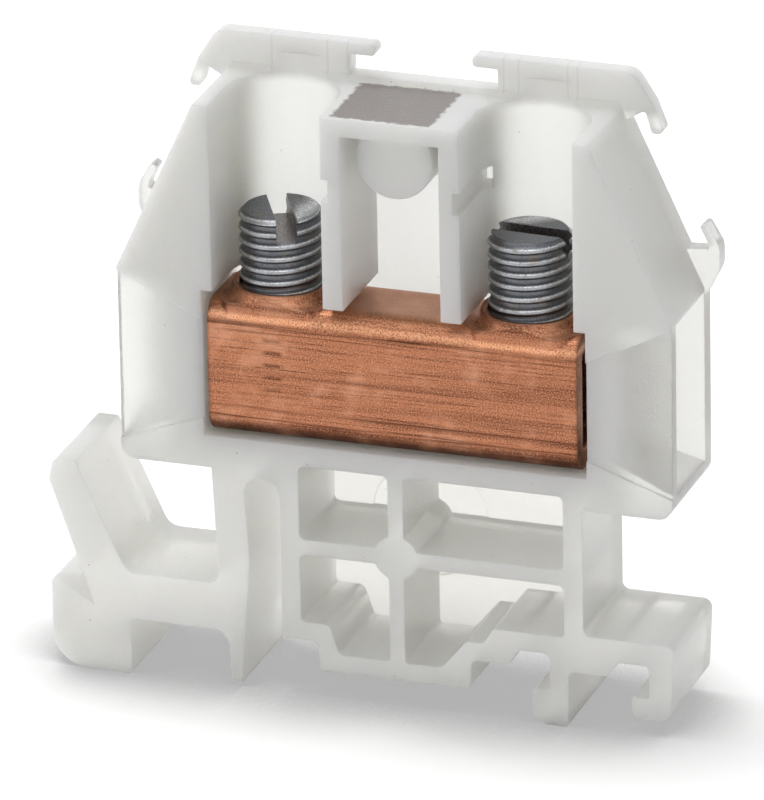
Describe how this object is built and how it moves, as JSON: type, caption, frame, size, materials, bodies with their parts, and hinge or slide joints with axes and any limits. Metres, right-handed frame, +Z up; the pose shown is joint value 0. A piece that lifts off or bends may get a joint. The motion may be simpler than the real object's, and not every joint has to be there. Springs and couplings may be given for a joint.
{
  "type": "feed-through terminal block",
  "caption": "Feed-through terminal block for a 35 mm top-hat rail, open on one side, with a copper clamp tube and slotted set screws",
  "frame": {"origin": "middle of the footprint, on the surface that the feet stand on", "axes": "+Z up from the rail, +X along the wire path away from the release lever, +Y from the open side to the back plate, along the rail"},
  "size_m": [0.0432, 0.0082, 0.0425],
  "materials": {
    "housing_plastic": "satin",
    "copper": "satin",
    "screw_steel": "satin"
  },
  "bodies": {
    "housing": {"housing": "housing_plastic", "clamp_tube": "copper"},
    "screw_left": {"screw_left": "screw_steel"},
    "screw_right": {"screw_right": "screw_steel"}
  },
  "joints": [
    {"name": "screw_left_travel", "type": "slide", "parent": "housing", "child": "screw_left", "axis": [0, 0, 1], "range_m": [-0.0049, 0.00175]},
    {"name": "screw_right_travel", "type": "slide", "parent": "housing", "child": "screw_right", "axis": [0, 0, 1], "range_m": [-0.0052, 0.00145]}
  ]
}
